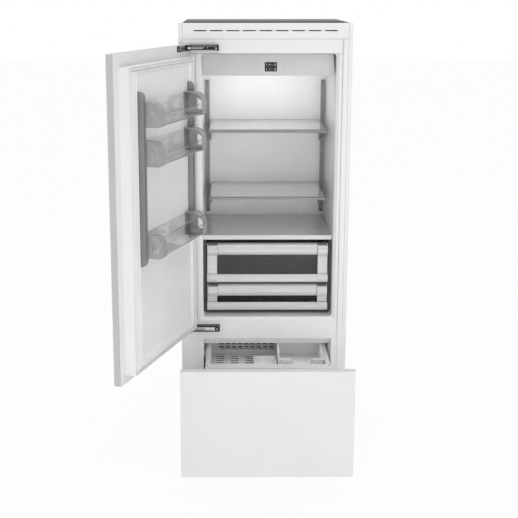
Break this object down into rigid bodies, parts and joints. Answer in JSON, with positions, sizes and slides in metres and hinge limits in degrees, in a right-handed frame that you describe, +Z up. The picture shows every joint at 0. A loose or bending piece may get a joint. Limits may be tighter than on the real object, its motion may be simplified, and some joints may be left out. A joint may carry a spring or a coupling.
{
  "type": "bottom freezer refrigerator",
  "caption": "Built-in refrigerator for furniture panels, with a side-hung door, door bins, glass shelves, crisper drawers and a pull-out freezer drawer with an inner tray.",
  "frame": {"origin": "on the floor, under the middle of the cabinet's front plane, where the face frame meets the door seal", "axes": "+X to the right as one faces the appliance, +Y from the front into the cabinet, +Z up"},
  "size_m": [1.0382, 1.3284, 2.11],
  "materials": {
    "white_enamel": "satin white enamel on steel",
    "white_panel": "white lacquered board",
    "white_liner": "white moulded liner",
    "zinc_steel": "zinc coated sheet",
    "dark_steel": "dark grey coated sheet",
    "black_steel": "black coated steel",
    "bright_steel": "bright steel",
    "satin_steel": "satin metal",
    "grey_plastic": "grey moulded plastic",
    "dark_plastic": "dark grey moulded plastic",
    "black_plastic": "black moulded plastic",
    "grey_nylon": "grey nylon",
    "grey_rubber": "grey flexible seal",
    "clear_plastic": "clear moulded plastic",
    "clear_glass": "clear tempered glass",
    "smoked_glass": "smoked clear plastic",
    "dark_glass": "black gloss display",
    "lens": "white light diffuser",
    "foam": "rigid insulation foam",
    "fins": "aluminium fins on tubes"
  },
  "bodies": {
    "cabinet": {"outer_casing": "zinc_steel", "insulation_foam": "foam", "fridge_liner": "white_liner", "freezer_liner": "white_liner", "front_frame": "white_enamel", "side_trims": "white_enamel", "top_cover": "dark_steel", "top_grille": "white_enamel", "base_frame": "black_steel", "levelling_feet": "zinc_steel", "toe_kick": "white_enamel", "compressor": "black_steel", "condenser": "fins", "condenser_fan_shroud": "black_plastic", "control_housing": "grey_plastic", "display_window": "dark_glass", "ceiling_light_cover": "lens", "shelf_rails": "satin_steel", "shelf_glasses": "clear_glass", "shelf_frames": "satin_steel", "crisper_housing": "dark_plastic", "crisper_cover_glass": "clear_glass", "crisper_cover_trim": "satin_steel", "hinge_boxes": "black_steel", "hinge_arms": "bright_steel", "drawer_slides_fixed": "bright_steel", "evaporator_cover": "grey_plastic", "evaporator_coil": "fins"},
    "door": {"door_panel": "white_panel", "door_body": "white_enamel", "door_liner": "white_liner", "door_gasket": "grey_rubber", "bin_rails": "satin_steel", "hinge_door_plates": "bright_steel"},
    "drawer": {"drawer_panel": "white_panel", "drawer_body": "white_liner", "drawer_gasket": "grey_rubber", "drawer_box": "white_liner", "drawer_slides_moving": "bright_steel"},
    "slide_middle": {"drawer_slides_middle": "bright_steel"},
    "freezer_tray": {"freezer_tray_frame": "white_liner", "freezer_tray_grid": "grey_plastic", "ice_bin": "white_liner", "notched_basket": "white_liner"},
    "upper_crisper": {"upper_crisper_tub": "clear_plastic", "upper_crisper_front": "satin_steel", "upper_crisper_window": "smoked_glass"},
    "lower_crisper": {"lower_crisper_tub": "clear_plastic", "lower_crisper_front": "satin_steel", "lower_crisper_window": "smoked_glass"},
    "top_bin": {"top_bin_ends": "satin_steel", "top_bin_tray": "clear_plastic"},
    "middle_bin": {"middle_bin_ends": "satin_steel", "middle_bin_tray": "clear_plastic"},
    "bottom_bin": {"bottom_bin_ends": "satin_steel", "bottom_bin_tray": "clear_plastic"},
    "condenser_fan": {"condenser_fan": "black_plastic"},
    "evaporator_fan": {"evaporator_fan": "black_plastic"},
    "roller_left": {"roller_left": "grey_nylon"},
    "roller_right": {"roller_right": "grey_nylon"}
  },
  "joints": [
    {"name": "door_hinge", "type": "hinge", "parent": "cabinet", "child": "door", "pos_m": [-0.351, -0.048, 1.3335], "axis": [0, 0, -1], "range_deg": [-110.4, 0]},
    {"name": "drawer_slide", "type": "slide", "parent": "cabinet", "child": "drawer", "axis": [0, -1, 0], "range_m": [-0.46, 0]},
    {"name": "slide_middle_travel", "type": "slide", "parent": "cabinet", "child": "slide_middle", "axis": [0, -1, 0], "range_m": [-0.23, 0]},
    {"name": "tray_slide", "type": "slide", "parent": "cabinet", "child": "freezer_tray", "axis": [0, -1, 0], "range_m": [-0.19, 0]},
    {"name": "upper_crisper_slide", "type": "slide", "parent": "cabinet", "child": "upper_crisper", "axis": [0, -1, 0], "range_m": [0, 0.3]},
    {"name": "lower_crisper_slide", "type": "slide", "parent": "cabinet", "child": "lower_crisper", "axis": [0, -1, 0], "range_m": [0, 0.3]},
    {"name": "top_bin_lift", "type": "slide", "parent": "door", "child": "top_bin", "axis": [0, 0, 1], "range_m": [0, 0.05]},
    {"name": "middle_bin_lift", "type": "slide", "parent": "door", "child": "middle_bin", "axis": [0, 0, 1], "range_m": [0, 0.05]},
    {"name": "bottom_bin_lift", "type": "slide", "parent": "door", "child": "bottom_bin", "axis": [0, 0, 1], "range_m": [0, 0.05]},
    {"name": "condenser_fan_spin", "type": "hinge", "parent": "cabinet", "child": "condenser_fan", "pos_m": [0.09, 0.509, 0.184], "axis": [1, 0, 0], "continuous": true},
    {"name": "evaporator_fan_spin", "type": "hinge", "parent": "cabinet", "child": "evaporator_fan", "pos_m": [-0.181, 0.517, 0.456], "axis": [0, 1, 0], "continuous": true},
    {"name": "roller_left_spin", "type": "hinge", "parent": "cabinet", "child": "roller_left", "pos_m": [-0.361, 0.54, 0.028], "axis": [1, 0, 0], "continuous": true},
    {"name": "roller_right_spin", "type": "hinge", "parent": "cabinet", "child": "roller_right", "pos_m": [0.361, 0.54, 0.028], "axis": [1, 0, 0], "continuous": true}
  ],
  "couplings": [
    {"joint": "slide_middle_travel", "follows": "drawer_slide", "ratio": 0.5},
    {"joint": "tray_slide", "follows": "drawer_slide", "ratio": 0.413}
  ]
}
